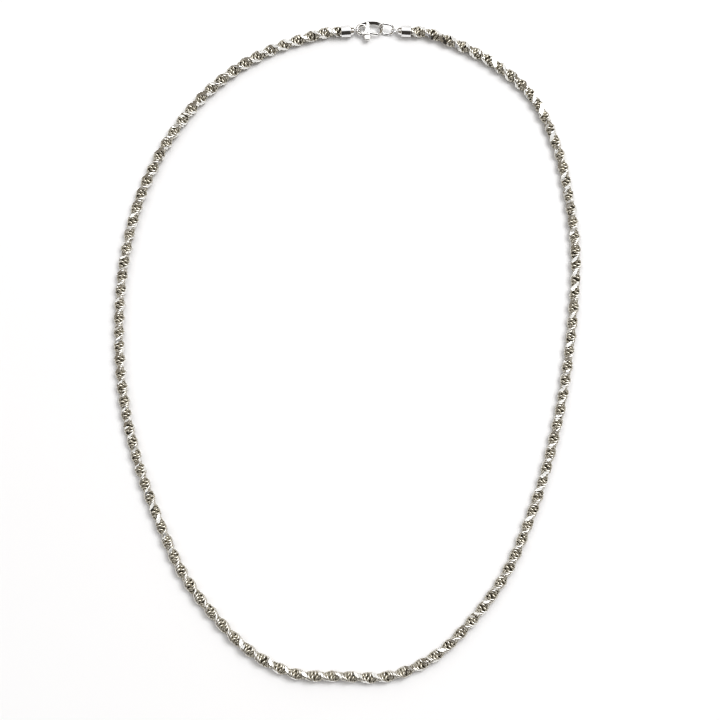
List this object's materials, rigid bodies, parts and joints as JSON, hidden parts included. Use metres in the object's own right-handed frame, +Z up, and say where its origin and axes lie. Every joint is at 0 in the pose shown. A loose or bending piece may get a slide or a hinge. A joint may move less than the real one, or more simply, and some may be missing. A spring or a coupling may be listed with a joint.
{
  "type": "rope chain necklace",
  "caption": "Closed twisted silver rope chain necklace with end caps, an oval jump ring and a lobster clasp, lying flat in an oval loop.",
  "frame": {"origin": "centre of the bounding box's underside, on the surface that the necklace lies on", "axes": "+Z up, +Y from the bottom of the loop towards the clasp, +X to the right as seen from above with the clasp at the top"},
  "size_m": [0.161, 0.2283, 0.0041],
  "materials": {
    "cut_rope_silver": "polished silver wire links with bright diamond-cut flats and darker gaps",
    "cap_silver": "smooth polished silver with fine scratches",
    "clasp_silver": "polished cast silver, slightly worn"
  },
  "bodies": {
    "necklace": {"rope_chain": "cut_rope_silver", "end_cap_left": "cap_silver", "end_cap_right": "cap_silver", "jump_ring": "cap_silver", "clasp_body": "clasp_silver", "pivot_pin": "clasp_silver"},
    "lever": {"clasp_lever": "clasp_silver"}
  },
  "joints": [
    {"name": "lever_pivot", "type": "hinge", "parent": "necklace", "child": "lever", "pos_m": [0.0067, 0.11025, 0.0018], "axis": [0, 0, 1], "range_deg": [0, 16], "stiffness_Nm_per_rad": 0.01, "springref_deg": -5.73}
  ]
}
